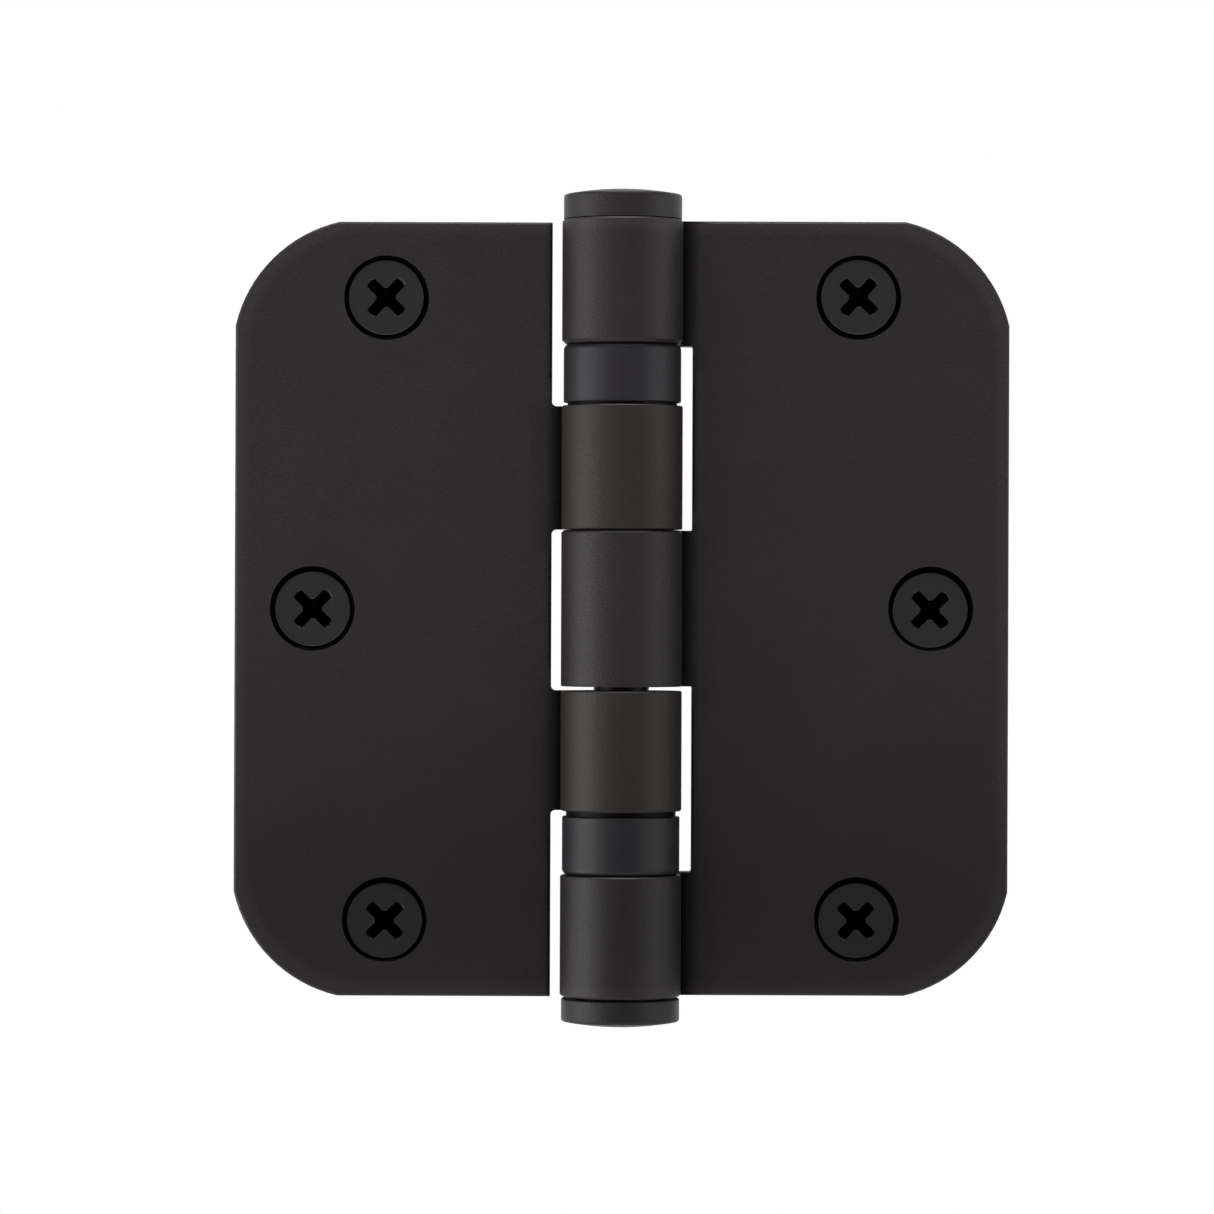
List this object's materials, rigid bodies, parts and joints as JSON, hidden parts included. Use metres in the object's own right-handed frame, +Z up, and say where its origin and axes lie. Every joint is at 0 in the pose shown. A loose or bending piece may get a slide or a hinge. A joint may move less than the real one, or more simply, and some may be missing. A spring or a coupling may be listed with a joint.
{
  "type": "door hinge",
  "caption": "Full-mortise butt door hinge, open flat: leaves with rounded corners, rolled knuckles, thrust ball bearings, a loose pin with button tips, and countersunk wood screws.",
  "frame": {"origin": "on the pin axis, at mid-height of the frame leaf", "axes": "+Z up along the pin, +X across the frame leaf, +Y from the leaf faces that hold the screw heads to their backs, with the hinge open flat"},
  "size_m": [0.0888, 0.0334, 0.096],
  "materials": {
    "leaf_coat": "satin",
    "tip_coat": "satin",
    "cup_finish": "satin",
    "screw_finish": "satin",
    "pin_finish": "black oxide, oiled",
    "race_steel": "black oxide",
    "cage_brass": "pressed",
    "ball_steel": "polished"
  },
  "bodies": {
    "frame_leaf": {"frame_leaf": "leaf_coat", "frame_screw_top": "screw_finish", "frame_screw_middle": "screw_finish", "frame_screw_bottom": "screw_finish", "bottom_tip": "tip_coat", "upper_bearing_cup": "cup_finish", "upper_fixed_race": "race_steel", "lower_bearing_cup": "cup_finish", "lower_fixed_race": "race_steel"},
    "door_leaf": {"door_leaf": "leaf_coat", "door_screw_top": "screw_finish", "door_screw_middle": "screw_finish", "door_screw_bottom": "screw_finish", "upper_turning_race": "race_steel", "lower_turning_race": "race_steel"},
    "hinge_pin": {"pin": "pin_finish", "top_tip": "tip_coat"},
    "upper_cage": {"upper_cage": "cage_brass", "upper_ball_01": "ball_steel", "upper_ball_02": "ball_steel", "upper_ball_03": "ball_steel", "upper_ball_04": "ball_steel", "upper_ball_05": "ball_steel", "upper_ball_06": "ball_steel", "upper_ball_07": "ball_steel", "upper_ball_08": "ball_steel", "upper_ball_09": "ball_steel", "upper_ball_10": "ball_steel"},
    "lower_cage": {"lower_cage": "cage_brass", "lower_ball_01": "ball_steel", "lower_ball_02": "ball_steel", "lower_ball_03": "ball_steel", "lower_ball_04": "ball_steel", "lower_ball_05": "ball_steel", "lower_ball_06": "ball_steel", "lower_ball_07": "ball_steel", "lower_ball_08": "ball_steel", "lower_ball_09": "ball_steel", "lower_ball_10": "ball_steel"}
  },
  "joints": [
    {"name": "leaf_swing", "type": "hinge", "parent": "frame_leaf", "child": "door_leaf", "pos_m": [0, 0, 0], "axis": [0, 0, 1], "range_deg": [-80, 180]},
    {"name": "pin_lift", "type": "slide", "parent": "frame_leaf", "child": "hinge_pin", "axis": [0, 0, 1], "range_m": [0, 0.09]},
    {"name": "upper_cage_turn", "type": "hinge", "parent": "frame_leaf", "child": "upper_cage", "pos_m": [0, 0, 0.0264], "axis": [0, 0, 1], "range_deg": [-40, 90]},
    {"name": "lower_cage_turn", "type": "hinge", "parent": "frame_leaf", "child": "lower_cage", "pos_m": [0, 0, -0.02675], "axis": [0, 0, 1], "range_deg": [-40, 90]}
  ],
  "couplings": [
    {"joint": "upper_cage_turn", "follows": "leaf_swing", "ratio": 0.5},
    {"joint": "lower_cage_turn", "follows": "leaf_swing", "ratio": 0.5}
  ]
}
